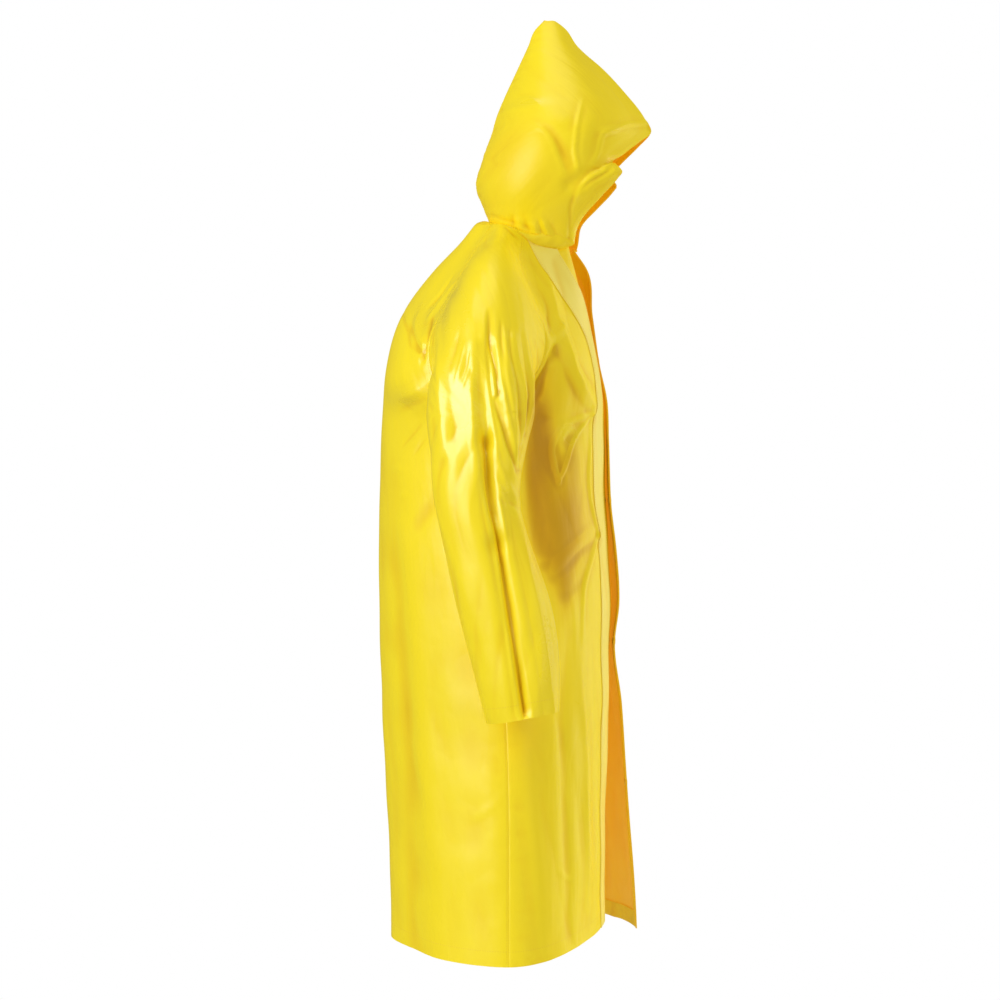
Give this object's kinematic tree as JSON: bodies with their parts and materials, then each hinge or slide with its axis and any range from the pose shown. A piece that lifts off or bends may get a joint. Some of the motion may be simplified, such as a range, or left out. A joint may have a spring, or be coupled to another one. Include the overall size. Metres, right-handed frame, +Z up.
{
  "type": "hooded raincoat",
  "caption": "Long hooded raincoat of glossy coated cloth with raglan sleeves, a peaked hood, a storm flap and press studs, filled out as when worn.",
  "frame": {"origin": "inside the neck at the height of the shoulders, on the coat's middle plane, where the wearer holds it up", "axes": "+Z up, -Y the way the wearer faces, +X the wearer's left"},
  "size_m": [0.7336, 0.4313, 1.4566],
  "materials": {
    "coated_cloth": "glossy yellow plastic coating outside, matt orange woven backing inside",
    "stud_plastic": "moulded yellow plastic"
  },
  "bodies": {
    "root": {"back": "coated_cloth", "front_right": "coated_cloth", "front_left": "coated_cloth", "sleeve_right": "coated_cloth", "sleeve_left": "coated_cloth", "hood_right": "coated_cloth", "hood_left": "coated_cloth", "neck_band": "coated_cloth", "storm_flap": "coated_cloth", "facing_left": "coated_cloth", "hem_back": "coated_cloth", "hem_front_right": "coated_cloth", "hem_front_left": "coated_cloth", "cuff_hem_right": "coated_cloth", "cuff_hem_left": "coated_cloth", "hood_hem_right": "coated_cloth", "hood_hem_left": "coated_cloth", "stud_cap_1": "stud_plastic", "stud_cap_2": "stud_plastic", "stud_cap_3": "stud_plastic", "stud_cap_4": "stud_plastic", "stud_socket_1": "stud_plastic", "stud_socket_2": "stud_plastic", "stud_socket_3": "stud_plastic", "stud_socket_4": "stud_plastic", "stud_post_1": "stud_plastic", "stud_post_2": "stud_plastic", "stud_post_3": "stud_plastic", "stud_post_4": "stud_plastic"}
  },
  "joints": []
}
